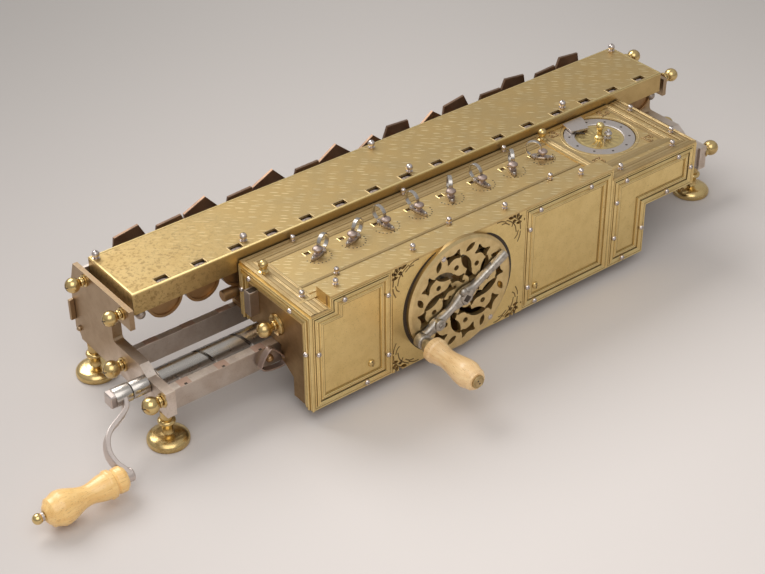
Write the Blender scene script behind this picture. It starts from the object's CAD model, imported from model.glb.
import math

import bmesh
import bpy
import numpy as np
from mathutils import Matrix, Vector


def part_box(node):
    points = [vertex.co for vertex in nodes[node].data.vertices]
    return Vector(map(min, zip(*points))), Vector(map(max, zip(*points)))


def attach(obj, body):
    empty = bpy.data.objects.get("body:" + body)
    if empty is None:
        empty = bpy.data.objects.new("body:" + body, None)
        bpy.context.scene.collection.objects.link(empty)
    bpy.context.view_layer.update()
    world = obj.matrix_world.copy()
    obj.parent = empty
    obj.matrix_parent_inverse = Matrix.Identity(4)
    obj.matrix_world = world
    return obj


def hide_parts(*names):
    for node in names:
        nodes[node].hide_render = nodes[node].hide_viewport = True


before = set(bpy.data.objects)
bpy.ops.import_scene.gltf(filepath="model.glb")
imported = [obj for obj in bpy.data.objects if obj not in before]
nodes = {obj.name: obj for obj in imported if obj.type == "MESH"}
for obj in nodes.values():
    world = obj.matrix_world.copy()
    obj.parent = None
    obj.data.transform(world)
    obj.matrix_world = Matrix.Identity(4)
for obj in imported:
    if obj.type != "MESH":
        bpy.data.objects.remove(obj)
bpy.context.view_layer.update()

# Working sizes are millimetres, measured from the middle of the register cover's front edge, at table height
coverLow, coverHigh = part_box("register_cover")
shift = np.array([(coverLow.x + coverHigh.x) / 2, coverLow.y, 0.0])


def toFrame(points):  # millimetres from the cover's front to metres in the part's frame
    return np.asarray(points, float) * 0.001 + shift


def nodeBox(name):  # a node's corners in working millimetres
    low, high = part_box(name)
    return (np.array(low) - shift) * 1000, (np.array(high) - shift) * 1000


print("frame loaded:", len(nodes), "nodes")

# Camera, fitted to the photograph
view = {"azimuth": -37.82, "elevation": 35.03, "roll": -0.55, "lens": 79.53, "sensor": 36, "clip": (0.05, 50),
        "place": (-902.25, -1095.80, 990.41)}


def link(made):
    bpy.context.scene.collection.objects.link(made)
    return made


def cameraAxes(azimuth, elevation, roll):
    az, el, ro = (math.radians(a) for a in (azimuth, elevation, roll))
    back = np.array([math.sin(az) * math.cos(el), -math.cos(az) * math.cos(el), math.sin(el)])
    right = np.array([math.cos(az), math.sin(az), 0.0])
    up = np.cross(back, right)
    return (math.cos(ro) * right + math.sin(ro) * up, math.cos(ro) * up - math.sin(ro) * right, back)


def addCamera():
    right, up, back = cameraAxes(view["azimuth"], view["elevation"], view["roll"])
    lensData = bpy.data.cameras.new("camera")
    lensData.lens = view["lens"]
    lensData.sensor_width = view["sensor"]
    lensData.sensor_fit = "HORIZONTAL"
    lensData.clip_start, lensData.clip_end = view["clip"]
    camera = bpy.data.objects.new("camera", lensData)
    turn = Matrix((right, up, back)).transposed().to_4x4()
    camera.matrix_world = Matrix.Translation(Vector(toFrame(view["place"]))) @ turn
    bpy.context.scene.camera = link(camera)


addCamera()
print("camera placed")


# Meshes from grids of points
toFront, toRear, toLeft, toTop = (0, -1, 0), (0, 1, 0), (-1, 0, 0), (0, 0, 1)


def grid(points, ringRows=False, ringCols=False):  # quads between neighbours of a rows by columns array
    rows, cols = points.shape[:2]
    i = np.arange(rows if ringRows else rows - 1)[:, None]
    j = np.arange(cols if ringCols else cols - 1)[None, :]
    corner = [i * cols + j, i * cols + (j + 1) % cols,
              (i + 1) % rows * cols + (j + 1) % cols, (i + 1) % rows * cols + j]
    return points.reshape(-1, 3), np.stack(np.broadcast_arrays(*corner), -1).reshape(-1, 4)


def turned(profile, sides=32):  # a profile of (radius, height) carried round the Z axis
    profile = np.asarray(profile, float)
    a = np.linspace(0, 2 * np.pi, sides, endpoint=False)
    ring = np.stack([np.cos(a), np.sin(a)], -1)
    xy = profile[:, None, 0:1] * ring[None]
    z = np.broadcast_to(profile[:, None, 1:2], xy.shape[:2] + (1,))
    return grid(np.concatenate([xy, z], -1), ringCols=True)


def capped(rows, ends=None):  # rings of points, closed at both ends by a fan to a middle point
    ends = [rows[i].mean(0) for i in (0, -1)] if ends is None else ends
    first, last = (np.broadcast_to(end, rows[:1].shape) for end in ends)
    return grid(np.concatenate([first, rows, last]), ringCols=True)


def swept(path, section, side):  # a closed section of (across, along side) carried along a path
    path, side = np.asarray(path, float), np.asarray(side, float)
    ahead = np.gradient(path, axis=0)
    ahead /= np.linalg.norm(ahead, axis=1, keepdims=True)
    across = np.cross(side, ahead)
    rows = path[:, None] + section[None, :, :1] * across[:, None] + section[None, :, 1:] * side
    return capped(rows, path[[0, -1]])


def smoothPath(points, count=40):  # a curve through the points by even blending of neighbouring parabolas
    points = np.asarray(points, float)
    padded = np.concatenate([2 * points[:1] - points[1:2], points, 2 * points[-1:] - points[-2:-1]])
    t = np.linspace(0, len(points) - 1 - 1e-9, count)
    i = t.astype(int)
    f = (t - i)[:, None]
    a, b, c, d = (padded[i + n] for n in range(4))
    return 0.5 * (2 * b + (c - a) * f + (2 * a - 5 * b + 4 * c - d) * f ** 2 + (3 * b - a - 3 * c + d) * f ** 3)


def barSection(wide, tall, edge):  # a rectangle with cut corners
    a, b = wide / 2, tall / 2
    return np.array([[a, edge - b], [a, b - edge], [a - edge, b], [edge - a, b],
                     [-a, b - edge], [-a, edge - b], [edge - a, -b], [a - edge, -b]])


def roundSection(radius, sides=10):  # points round a circle
    a = np.linspace(0, 2 * np.pi, sides, endpoint=False)
    return radius * np.stack([np.cos(a), np.sin(a)], -1)


def beadArc(radius, height, start, count, tall=None, out=0.0):  # a profile's arc, from an angle up to its top
    a = np.linspace(start, np.pi / 2, count)
    return np.stack([out + radius * np.cos(a), height + (tall or radius) * np.sin(a)], -1)


def plainPin(radius, low, high):  # the profile of a cylinder
    return [(0, low), (radius, low), (radius, high), (0, high)]


def stacked(outline, levels):  # an outline scaled and lifted in turn by (scale, height), closed at both ends
    levels = np.array([(0, levels[0][1]), *levels, (0, levels[-1][1])], float)
    flat = levels[:, None, :1] * outline[None]
    lift = np.broadcast_to(levels[:, None, 1:], flat.shape[:2] + (1,))
    return grid(np.concatenate([flat, lift], -1), ringCols=True)


def slab(low, high, edge):  # a block with cut edges
    low, high = np.asarray(low, float), np.asarray(high, float)
    middle, size = (low + high) / 2, high - low
    outer = barSection(size[0], size[1], edge)
    inner = barSection(size[0] - 2 * edge, size[1] - 2 * edge, edge / 2)
    rows = [(outer * 0, 0), (inner, 0), (outer, edge), (outer, size[2] - edge), (inner, size[2]),
            (outer * 0, size[2])]
    points = np.stack([np.column_stack([flat, np.full(len(flat), lift)]) for flat, lift in rows])
    points, faces = grid(points, ringCols=True)
    return points + (middle[0], middle[1], low[2]), faces


# Bands of (from, to, relief, crown): a half wave crowns each band, and a fifth value slopes it
def fluted(bands, back=0.3):
    t = np.linspace(0, 1, 6)
    rows = [np.stack([a + (b - a) * t, h + (sum(end) - h * len(end)) * t + crown * np.sin(np.pi * t)], -1)
            for a, b, h, crown, *end in bands]
    return np.concatenate(rows + [np.array([[bands[-1][1], -back], [bands[0][0], -back]])])


def scored(grooves):  # one thin strip's section for each groove of (from, to, relief)
    return [np.array([(a, h + 0.05), (b, h + 0.05), (b, h - 0.3), (a, h - 0.3)]) for a, b, h in grooves]


def mitred(corners, profile, plane, closed=True):  # a profile of (inset, relief) carried round corners
    corners = np.asarray(corners, float)
    step = np.roll(corners, -1, 0) - corners
    step /= np.linalg.norm(step, axis=1, keepdims=True)
    after = np.stack([-step[:, 1], step[:, 0]], -1)
    before = np.roll(after, 1, 0)
    mitre = (after + before) / (1 + (after * before).sum(1, keepdims=True))
    if not closed:
        mitre[0], mitre[-1] = after[0], before[-1]
    flat = corners[:, None] + profile[None, :, :1] * mitre[:, None]
    points = plane(flat, np.broadcast_to(profile[None, :, 1:], flat.shape[:2] + (1,)))
    return grid(points, ringRows=True, ringCols=True) if closed else capped(points)


def onFront(y):  # outlines of (x, z), relief towards the front
    return lambda flat, relief: np.concatenate([flat[..., :1], y - relief, flat[..., 1:]], -1)


def onTop(z):  # outlines of (x, y), relief upwards
    return lambda flat, relief: np.concatenate([flat, z + relief], -1)


def onSide(x, way):  # outlines of (y, z), relief outwards
    return lambda flat, relief: np.concatenate([x + way * relief, flat], -1)


def aimed(part, place, axis=toTop):  # turns a part's Z axis to a direction and moves it
    points, faces = part
    turn = np.array(Vector(toTop).rotation_difference(Vector(axis)).to_matrix())
    return points @ turn.T + np.asarray(place, float), faces


def spun(part, angle, place=(0, 0, 0)):  # turns a part about the Z axis, in degrees, and moves it
    points, faces = part
    a = math.radians(angle)
    turn = np.array([[math.cos(a), -math.sin(a), 0], [math.sin(a), math.cos(a), 0], [0, 0, 1]])
    return points @ turn.T + np.asarray(place, float), faces


def piece(name, groups, body, sharp=35, stands=None):  # groups of (parts, material) become one object
    parts = [part for some, _ in groups for part in some]
    starts = np.cumsum([0] + [len(points) for points, _ in parts])
    points = np.concatenate([points for points, _ in parts])
    faces = [row for (_, rows), start in zip(parts, starts) for row in (rows + start).tolist()]
    counts = [sum(len(rows) for _, rows in some) for some, _ in groups]
    mesh = bpy.data.meshes.new(name)
    mesh.from_pydata(toFrame(points).tolist(), [], faces)
    mesh.polygons.foreach_set("material_index", np.repeat(np.arange(len(groups)), counts))
    work = bmesh.new()
    work.from_mesh(mesh)
    bmesh.ops.remove_doubles(work, verts=work.verts, dist=2e-6)
    bmesh.ops.recalc_face_normals(work, faces=work.faces)
    work.to_mesh(mesh)
    work.free()
    mesh.shade_smooth()
    mesh.set_sharp_from_angle(angle=math.radians(sharp))
    for _, material in groups:
        mesh.materials.append(material)
    made = link(bpy.data.objects.new(name, mesh))
    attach(made, body)
    if stands:
        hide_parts(stands)


# Shader groups

def newGroup(name, inputs, outputs):
    group = bpy.data.node_groups.new(name, "ShaderNodeTree")
    for label, kind, value in inputs:
        socket = group.interface.new_socket(label, in_out="INPUT", socket_type=kind)
        socket.default_value = value
    for label, kind in outputs:
        group.interface.new_socket(label, in_out="OUTPUT", socket_type=kind)
    return group, group.nodes.new("NodeGroupInput"), group.nodes.new("NodeGroupOutput")


class Wires:  # short ways to add nodes to one tree and join them
    def __init__(self, tree):
        self.tree = tree

    def add(self, kind, settings=None, **links):
        made = self.tree.nodes.new(kind)
        for key, value in (settings or {}).items():
            setattr(made, key, value)
        for key, value in links.items():
            number = key[0] == "i" and key[1:].isdigit()
            self.feed(made.inputs[int(key[1:]) if number else key], value)
        return made

    def feed(self, socket, value):
        if isinstance(value, bpy.types.NodeSocket):
            self.tree.links.new(value, socket)
        else:
            socket.default_value = value

    def math(self, operation, a, b=0.0, c=0.0):
        return self.add("ShaderNodeMath", {"operation": operation}, i0=a, i1=b, i2=c).outputs[0]

    def vector(self, operation, a, b=(0, 0, 0)):
        made = self.add("ShaderNodeVectorMath", {"operation": operation}, i0=a, i1=b)
        return made.outputs["Value" if operation in ("DOT_PRODUCT", "DISTANCE", "LENGTH") else "Vector"]

    def noise(self, vector, scale, detail=4.0, rough=0.55):
        made = self.add("ShaderNodeTexNoise", None, Vector=vector, Scale=scale, Detail=detail, Roughness=rough)
        return made.outputs[0]

    def stretch(self, vector, scale):
        return self.add("ShaderNodeMapping", None, Vector=vector, Scale=scale).outputs[0]

    def ramp(self, value, low, high):  # 0 below low, 1 above high, smooth between
        made = self.add("ShaderNodeMapRange", {"interpolation_type": "SMOOTHSTEP"}, Value=value)
        made.inputs["From Min"].default_value = low
        made.inputs["From Max"].default_value = high
        return made.outputs[0]

    def mix(self, share, a, b):
        made = self.add("ShaderNodeMix", {"data_type": "RGBA"})
        self.feed(made.inputs[0], share)
        self.feed(made.inputs[6], a)
        self.feed(made.inputs[7], b)
        return made.outputs[2]


def agedGroup():  # mottled patina and fine scratches, in object coordinates
    group, entry, end = newGroup("agedMetal", [
        ("Vector", "NodeSocketVector", (0, 0, 0)), ("Mottle", "NodeSocketFloat", 40.0),
        ("Brush", "NodeSocketVector", (30, 1500, 1500))],
        [("Patina", "NodeSocketFloat"), ("Scratch", "NodeSocketFloat"), ("Speck", "NodeSocketFloat")])
    w = Wires(group)
    place = entry.outputs["Vector"]
    broad = w.noise(place, entry.outputs["Mottle"], 6.0, 0.62)
    fine = w.noise(w.vector("MULTIPLY", place, entry.outputs["Brush"]), 1.0, 3.0, 0.6)
    speck = w.noise(place, 900.0, 2.0, 0.5)
    w.feed(end.inputs["Patina"], w.ramp(broad, 0.36, 0.68))
    w.feed(end.inputs["Scratch"], fine)
    w.feed(end.inputs["Speck"], w.ramp(speck, 0.60, 0.74))
    return group


def dashGroup():  # slanting rows of short scooped strokes: one ellipse in each stretched cell, some left out
    group, entry, end = newGroup("toolDashes", [
        ("Vector", "NodeSocketVector", (0, 0, 0)), ("Length", "NodeSocketFloat", 13.5),
        ("Height", "NodeSocketFloat", 5.0), ("Share", "NodeSocketFloat", 0.7)],
        [("Mask", "NodeSocketFloat"), ("Tone", "NodeSocketFloat")])
    w = Wires(group)
    slant = math.radians(strokes["slant"])
    ways = ((math.cos(slant), math.sin(slant), 0), (-math.sin(slant), math.cos(slant), 0))
    along, across = (w.vector("DOT_PRODUCT", entry.outputs["Vector"], way) for way in ways)
    along = w.math("DIVIDE", w.math("MULTIPLY", along, 1000.0), entry.outputs["Length"])
    across = w.math("DIVIDE", w.math("MULTIPLY", across, 1000.0), entry.outputs["Height"])
    flat = w.add("ShaderNodeCombineXYZ", None, X=along, Y=across).outputs[0]
    cells = w.add("ShaderNodeTexVoronoi", {"voronoi_dimensions": "2D"}, Vector=flat, Scale=1.0,
                  Randomness=strokes["scatter"])
    away = w.vector("SUBTRACT", flat, cells.outputs["Position"])
    reach = w.vector("LENGTH", w.vector("MULTIPLY", away, strokes["shape"]))
    wobble = w.math("MULTIPLY_ADD", w.noise(entry.outputs["Vector"], 420.0, 2.0, 0.5), 0.7, reach)
    draw = w.add("ShaderNodeSeparateColor", None, i0=cells.outputs["Color"])
    chosen = w.math("LESS_THAN", draw.outputs[0], entry.outputs["Share"])
    inside = w.math("SUBTRACT", 1.0, w.ramp(wobble, 0.75, 1.35))
    w.feed(end.inputs["Mask"], w.math("MULTIPLY", inside, chosen))
    w.feed(end.inputs["Tone"], draw.outputs[1])
    return group


strokes = {"slant": -43.0, "scatter": 0.6, "shape": (2.5, 5.2, 0)}  # degrees, share and ellipse of a cell
agedMetal = agedGroup()
toolDashes = dashGroup()


def newMaterial(name):
    made = bpy.data.materials.new(name)
    made.use_nodes = True
    made.node_tree.nodes.clear()
    w = Wires(made.node_tree)
    shader = w.add("ShaderNodeBsdfPrincipled")
    output = w.add("ShaderNodeOutputMaterial")
    w.tree.links.new(shader.outputs[0], output.inputs[0])
    place = w.add("ShaderNodeTexCoord").outputs["Object"]
    return made, w, shader, place


def rgba(colour):
    return (*colour, 1.0)


def bumped(w, shader, height, strength, distance):
    bump = w.add("ShaderNodeBump", None, Height=height)
    bump.inputs["Strength"].default_value = strength
    bump.inputs["Distance"].default_value = distance
    w.feed(shader.inputs["Normal"], bump.outputs[0])


def metal(name, bright, dark, grime, rough=(0.28, 0.5), brush=(30, 1500, 1500), mottle=40.0, patina=0.5,
          dashes=0.0, dashColour=(0.95, 0.78, 0.44), crevice=0.004, depth=0.5, relief=0.00002, fade=None,
          below=None, disc=None):
    made, w, shader, place = newMaterial(name)
    aged = w.add("ShaderNodeGroup", {"node_tree": agedMetal}, Vector=place)
    aged.inputs["Mottle"].default_value = mottle
    aged.inputs["Brush"].default_value = brush
    spots, lines = aged.outputs["Patina"], aged.outputs["Scratch"]
    split = w.add("ShaderNodeSeparateXYZ", None, i0=place)
    first = rgba(bright)
    if below:  # another tone beneath a sloping plane
        level = w.vector("DOT_PRODUCT", place, below["slope"])
        first = w.mix(w.ramp(level, below["low"], below["high"]), rgba(below["colour"]), first)
    colour = w.mix(w.math("MULTIPLY", spots, patina), first, rgba(dark))
    colour = w.mix(w.math("MULTIPLY", aged.outputs["Speck"], 0.3), colour, rgba(grime))
    if disc:  # a darker tone on a round face that stands proud
        flat = w.add("ShaderNodeCombineXYZ", None, X=split.outputs[0], Z=split.outputs[2]).outputs[0]
        near = w.math("LESS_THAN", w.vector("DISTANCE", flat, disc["centre"]), disc["radius"])
        inside = w.math("MULTIPLY", near, w.math("LESS_THAN", split.outputs[1], disc["face"]))
        colour = w.mix(inside, colour, w.mix(spots, rgba(disc["colour"]), rgba(disc["worn"])))
    clear = None
    if fade:  # brown speckle that takes over towards one end
        clear = w.ramp(split.outputs[0], *fade)
        speckle = w.ramp(w.noise(place, 260.0, 5.0, 0.7), 0.48, 0.64)
        stain = w.math("MULTIPLY", speckle, w.math("SUBTRACT", 1.0, clear))
        colour = w.mix(w.math("MULTIPLY", stain, 0.55), colour, rgba(grime))
    occlusion = w.add("ShaderNodeAmbientOcclusion", {"samples": 6, "only_local": False})
    occlusion.inputs["Distance"].default_value = crevice
    shaded = w.ramp(occlusion.outputs["AO"], 0.15, 0.75)
    colour = w.mix(shaded, w.mix(depth, colour, rgba(grime)), colour)
    height = lines
    roughness = w.math("MULTIPLY_ADD", lines, (rough[1] - rough[0]) * 0.6, rough[0])
    roughness = w.math("MULTIPLY_ADD", spots, (rough[1] - rough[0]) * 0.6, roughness)
    if dashes:
        cuts = w.add("ShaderNodeGroup", {"node_tree": toolDashes}, Vector=place)
        cuts.inputs["Share"].default_value = dashes
        facing = w.add("ShaderNodeSeparateXYZ", None, i0=w.add("ShaderNodeNewGeometry").outputs["True Normal"])
        mask = w.math("MULTIPLY", cuts.outputs["Mask"], w.ramp(facing.outputs[2], 0.6, 0.9))
        if clear:
            mask = w.math("MULTIPLY", mask, clear)
        bite = w.math("MULTIPLY", mask, w.math("MULTIPLY_ADD", cuts.outputs["Tone"], 0.7, 0.25))
        colour = w.mix(bite, colour, rgba(dashColour))
        roughness = w.math("MULTIPLY_ADD", bite, -0.10, roughness)
        height = w.math("MULTIPLY_ADD", mask, -2.5, lines)
    w.feed(shader.inputs["Base Color"], colour)
    w.feed(shader.inputs["Roughness"], roughness)
    shader.inputs["Metallic"].default_value = 1.0
    bumped(w, shader, height, 0.5, relief)
    return made


def wood(name, pale, deep, grain, axis):
    made, w, shader, place = newMaterial(name)
    along = [220.0, 220.0, 220.0]
    along[axis] = 9.0
    rings = w.noise(w.stretch(place, tuple(along)), 1.0, 5.0, 0.62)
    pores = [1400.0, 1400.0, 1400.0]
    pores[axis] = 90.0
    flecks = w.ramp(w.noise(w.stretch(place, tuple(pores)), 1.0, 2.0, 0.5), 0.58, 0.72)
    colour = w.mix(w.ramp(rings, 0.32, 0.70), rgba(pale), rgba(deep))
    colour = w.mix(w.math("MULTIPLY", flecks, 0.45), colour, rgba(grain))
    w.feed(shader.inputs["Base Color"], colour)
    w.feed(shader.inputs["Roughness"], w.math("MULTIPLY_ADD", rings, 0.16, 0.26))
    shader.inputs["Coat Weight"].default_value = 0.35
    shader.inputs["Coat Roughness"].default_value = 0.16
    bumped(w, shader, flecks, 0.25, 0.00003)
    return made


def enamel(name, pale, worn, rough):
    made, w, shader, place = newMaterial(name)
    spots = w.noise(place, 700.0, 4.0, 0.6)
    w.feed(shader.inputs["Base Color"], w.mix(w.ramp(spots, 0.35, 0.7), rgba(pale), rgba(worn)))
    w.feed(shader.inputs["Roughness"], w.math("MULTIPLY_ADD", spots, 0.2, rough))
    bumped(w, shader, spots, 0.2, 0.00002)
    return made


brassDark = (0.20, 0.115, 0.040)
coverBrass = metal("cover brass", (0.63, 0.455, 0.205), (0.50, 0.345, 0.140), brassDark, (0.36, 0.54),
                   dashes=0.8, fade=(-0.27, -0.08))
topBrass = metal("top brass", (0.69, 0.505, 0.235), (0.56, 0.395, 0.165), brassDark, (0.36, 0.54), dashes=0.8)
discTone = {"centre": tuple(toFrame((-50, 0, 73.5)) * (1, 0, 1)), "radius": 0.0625,
            "face": float(toFrame((0, -113.4, 0))[1]), "colour": (0.78, 0.60, 0.31), "worn": (0.67, 0.50, 0.24)}
panelBrass = metal("panel brass", (0.84, 0.645, 0.29), (0.73, 0.545, 0.235), brassDark, (0.36, 0.50),
                   brush=(500, 500, 40), mottle=90.0, depth=0.4, crevice=0.003, disc=discTone)
mouldBrass = metal("moulding brass", (0.86, 0.67, 0.315), (0.72, 0.535, 0.235), brassDark, (0.28, 0.46),
                   patina=0.6, crevice=0.0008, depth=0.15)
borderBrass = metal("border brass", (0.53, 0.395, 0.205), (0.42, 0.305, 0.145), brassDark, (0.46, 0.62),
                    patina=0.6, crevice=0.0009)
lineBrass = metal("dark line brass", (0.46, 0.315, 0.135), (0.34, 0.225, 0.095), (0.16, 0.10, 0.04),
                  (0.45, 0.6), crevice=0.0008, depth=0.2)
carvedBrass = metal("carved brass", (0.22, 0.145, 0.065), (0.15, 0.10, 0.045), (0.07, 0.04, 0.02), (0.45, 0.6))
caseBrass = metal("case brass", (0.45, 0.30, 0.150), (0.28, 0.175, 0.085), brassDark, (0.34, 0.52), patina=0.8)
turnedBrass = metal("turned brass", (0.72, 0.535, 0.24), (0.48, 0.325, 0.135), brassDark, (0.14, 0.32),
                    brush=(300, 300, 1500), patina=0.6)
gilt = metal("gilt", (0.74, 0.575, 0.265), (0.54, 0.40, 0.165), (0.25, 0.14, 0.04), (0.26, 0.42), patina=0.6)
drumBrass = metal("drum brass", (0.55, 0.38, 0.15), (0.36, 0.22, 0.09), brassDark)
frameSteel = metal("frame steel", (0.44, 0.315, 0.195), (0.34, 0.235, 0.145), (0.12, 0.085, 0.055),
                   (0.32, 0.48), patina=0.45,
                   below={"slope": (0, 0.8, 1), "low": 0.090, "high": 0.138, "colour": (0.76, 0.66, 0.58)})
railSteel = metal("rail steel", (0.74, 0.66, 0.595), (0.44, 0.345, 0.28), (0.14, 0.105, 0.08), (0.32, 0.48),
                  mottle=55.0, patina=0.6,
                  below={"slope": toTop, "low": 0.0606, "high": 0.0616, "colour": (0.54, 0.47, 0.41)})
brightSteel = metal("bright steel", (0.54, 0.50, 0.455), (0.45, 0.41, 0.37), (0.16, 0.13, 0.10), (0.20, 0.34),
                    relief=0.000001, crevice=0.002)
grooveSteel = metal("groove steel", (0.20, 0.175, 0.15), (0.13, 0.11, 0.09), (0.05, 0.04, 0.03), (0.30, 0.45))
armSteel = metal("arm steel", (0.64, 0.56, 0.515), (0.52, 0.445, 0.40), (0.18, 0.14, 0.11), (0.36, 0.50))
forgedSteel = metal("forged steel", (0.54, 0.49, 0.43), (0.33, 0.29, 0.24), (0.14, 0.11, 0.08), (0.32, 0.48),
                    mottle=220.0, patina=0.8, brush=(260, 260, 260), relief=0.00014)
dialSteel = metal("dial steel", (0.46, 0.385, 0.33), (0.34, 0.275, 0.225), (0.10, 0.07, 0.05), (0.34, 0.52),
                  crevice=0.002)
knobSteel = metal("knob steel", (0.46, 0.36, 0.315), (0.37, 0.28, 0.24), (0.12, 0.08, 0.06), (0.42, 0.56),
                  crevice=0.002)
ringSteel = metal("ring steel", (0.56, 0.51, 0.48), (0.46, 0.41, 0.385), (0.16, 0.13, 0.11), (0.42, 0.56),
                  crevice=0.002)
screwSilver = metal("screw silver", (0.70, 0.62, 0.575), (0.50, 0.43, 0.39), (0.14, 0.10, 0.08), (0.14, 0.30),
                    crevice=0.002)
copper = metal("copper inlay", (0.62, 0.445, 0.36), (0.47, 0.315, 0.24), (0.12, 0.07, 0.05), (0.36, 0.50))
wheelBronze = metal("wheel bronze", (0.44, 0.275, 0.135), (0.30, 0.18, 0.09), (0.06, 0.04, 0.025), (0.36, 0.55))
pentagonBronze = metal("pentagon bronze", (0.27, 0.170, 0.112), (0.17, 0.110, 0.078), (0.05, 0.035, 0.025),
                       (0.34, 0.52))
engraved = enamel("engraved mark", (0.030, 0.018, 0.010), (0.055, 0.035, 0.020), 0.5)
whiteEnamel = enamel("digit enamel", (0.46, 0.37, 0.325), (0.36, 0.285, 0.245), 0.36)
inkEnamel = enamel("digit ink", (0.020, 0.016, 0.014), (0.05, 0.04, 0.03), 0.40)
maple = wood("maple", (0.97, 0.70, 0.375), (0.84, 0.54, 0.255), (0.40, 0.20, 0.07), 1)
beech = wood("beech", (1.0, 0.67, 0.27), (0.90, 0.54, 0.185), (0.34, 0.14, 0.035), 0)
print("materials made")

# Finishes of the solid nodes
finishes = {
    "end_plates": frameSteel, "frame_bars": railSteel, "feet_and_ball_screws": turnedBrass,
    "register_cover": coverBrass, "lead_screw": brightSteel, "lead_grip": beech, "carriage_case": caseBrass,
    "carriage_top": topBrass, "front_panels": panelBrass, "drive_shaft": brightSteel,
    "main_crank": brightSteel, "main_grip": maple, "multiplier_dial": dialSteel,
}
families = {"digit_wheel": wheelBronze, "carry_pentagon": pentagonBronze, "setting_dial": dialSteel,
            "stepped_drum": drumBrass}
for name, node in nodes.items():
    finish = finishes.get(name) or families[name.rsplit("_", 1)[0]]
    node.data.materials.clear()
    node.data.materials.append(finish)
print("nodes finished")

# Outer sizes of the carriage case
case = {"left": -219.0, "right": 267.0, "front": -113.0, "back": -1.5, "low": 14.3, "shallow": 71.0,
        "apron": 200.8, "under": 119.0, "top": 121.0, "raisedLeft": -197.4, "raisedRight": 150.0,
        "raisedUnder": 131.3, "raisedTop": 133.3, "wall": -109.0, "panelLeft": -128.0, "panelRight": 33.0,
        "sill": 63.0}


def mouldings(runs, closed=False):  # runs of (path, sizes, plane): fluted bodies and their dark lines
    bodies = [mitred(path, fluted(sizes["bands"]), plane, closed) for path, sizes, plane in runs]
    lines = [mitred(path, line, plane, closed) for path, sizes, plane in runs
             for line in scored(sizes["grooves"])]
    return bodies, lines

# Fluted mouldings on the front, mitred at their corners
frontMoulding = {
    "bands": [(0, 1.6, 3.4, 0.5), (1.6, 2.3, 3.35, 0), (2.3, 3.6, 3.4, 0.5), (3.6, 4.2, 3.35, 0),
              (4.2, 5.9, 4.1, 0.6), (5.9, 7.7, 4.1, 0.6), (7.7, 9.8, 3.3, 0), (9.8, 11.2, 3.6, 0.5),
              (11.2, 12.6, 3.6, 0.5), (12.6, 14, 2.9, 0.15)],
    "grooves": [(1.6, 2.2, 3.42), (3.6, 4.1, 3.42), (8.4, 9.0, 3.36), (10.95, 11.45, 3.7), (13.4, 14.0, 2.98)],
    "plate": 2.5, "lap": 0.6}


def addFrontMouldings():
    c = case
    outlines = [
        [(c["left"], c["low"]), (c["panelLeft"], c["low"]), (c["panelLeft"], c["raisedUnder"]),
         (c["raisedLeft"], c["raisedUnder"]), (c["raisedLeft"], c["under"]), (c["left"], c["under"])],
        [(c["panelRight"], c["low"]), (c["raisedRight"], c["low"]), (c["raisedRight"], c["raisedUnder"]),
         (c["panelRight"], c["raisedUnder"])],
        [(c["raisedRight"], c["low"]), (c["apron"], c["low"]), (c["apron"], c["shallow"]),
         (c["right"], c["shallow"]), (c["right"], c["under"]), (c["raisedRight"], c["under"])]]
    bodies, lines = mouldings([(outline, frontMoulding, onFront(c["wall"])) for outline in outlines], True)
    piece("front_mouldings", [(bodies, mouldBrass), (lines, lineBrass)], "carriage", 20)
    w = frontMoulding["bands"][-1][1] - frontMoulding["lap"]
    inner = [(c["left"] + w, c["panelLeft"] - w, c["low"] + w, c["under"] - w),
             (c["raisedLeft"] + w, c["panelLeft"] - w, c["under"] - w, c["raisedUnder"] - w),
             (c["panelRight"] + w, c["raisedRight"] - w, c["low"] + w, c["raisedUnder"] - w),
             (c["raisedRight"] + w, c["apron"] - w, c["low"] + w, c["under"] - w),
             (c["apron"] - w, c["right"] - w, c["shallow"] + w, c["under"] - w)]
    face, back = c["wall"] - frontMoulding["plate"], c["wall"] + 0.3
    plates = [slab((x0, face, z0), (x1, back, z1), 0.02) for x0, x1, z0, z1 in inner]
    piece("plain_panels", [(plates, panelBrass)], "carriage")


# Fluted frames on the ends of the case
endFrame = {
    "bands": [(0, 1.7, 1.2, 0.5), (1.7, 2.3, 1.1, 0), (2.3, 3.5, 1.2, 0.5), (3.5, 4.5, 1.2, 0),
              (4.5, 7.7, 2.2, 0.8), (7.7, 9.4, 1.0, 0), (9.4, 11.8, 1.3, 0.5), (11.8, 14, 0.5, 0.15)],
    "grooves": [(1.7, 2.3, 1.15), (3.5, 4.4, 1.2), (8.0, 8.9, 1.0), (13.1, 14, 0.45)]}


def addEndFrames():
    c = case

    def run(low):
        return [(c["back"], low), (c["back"], c["under"]), (c["front"], c["under"])]

    bodies, lines = mouldings([
        (run(c["sill"]) + [(c["front"], c["low"])], endFrame, onSide(c["left"], -1)),
        (run(c["shallow"]) + [(c["front"], c["shallow"])], endFrame, onSide(c["right"], 1))])
    piece("end_frames", [(bodies, mouldBrass), (lines, lineBrass)], "carriage", 20)


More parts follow.
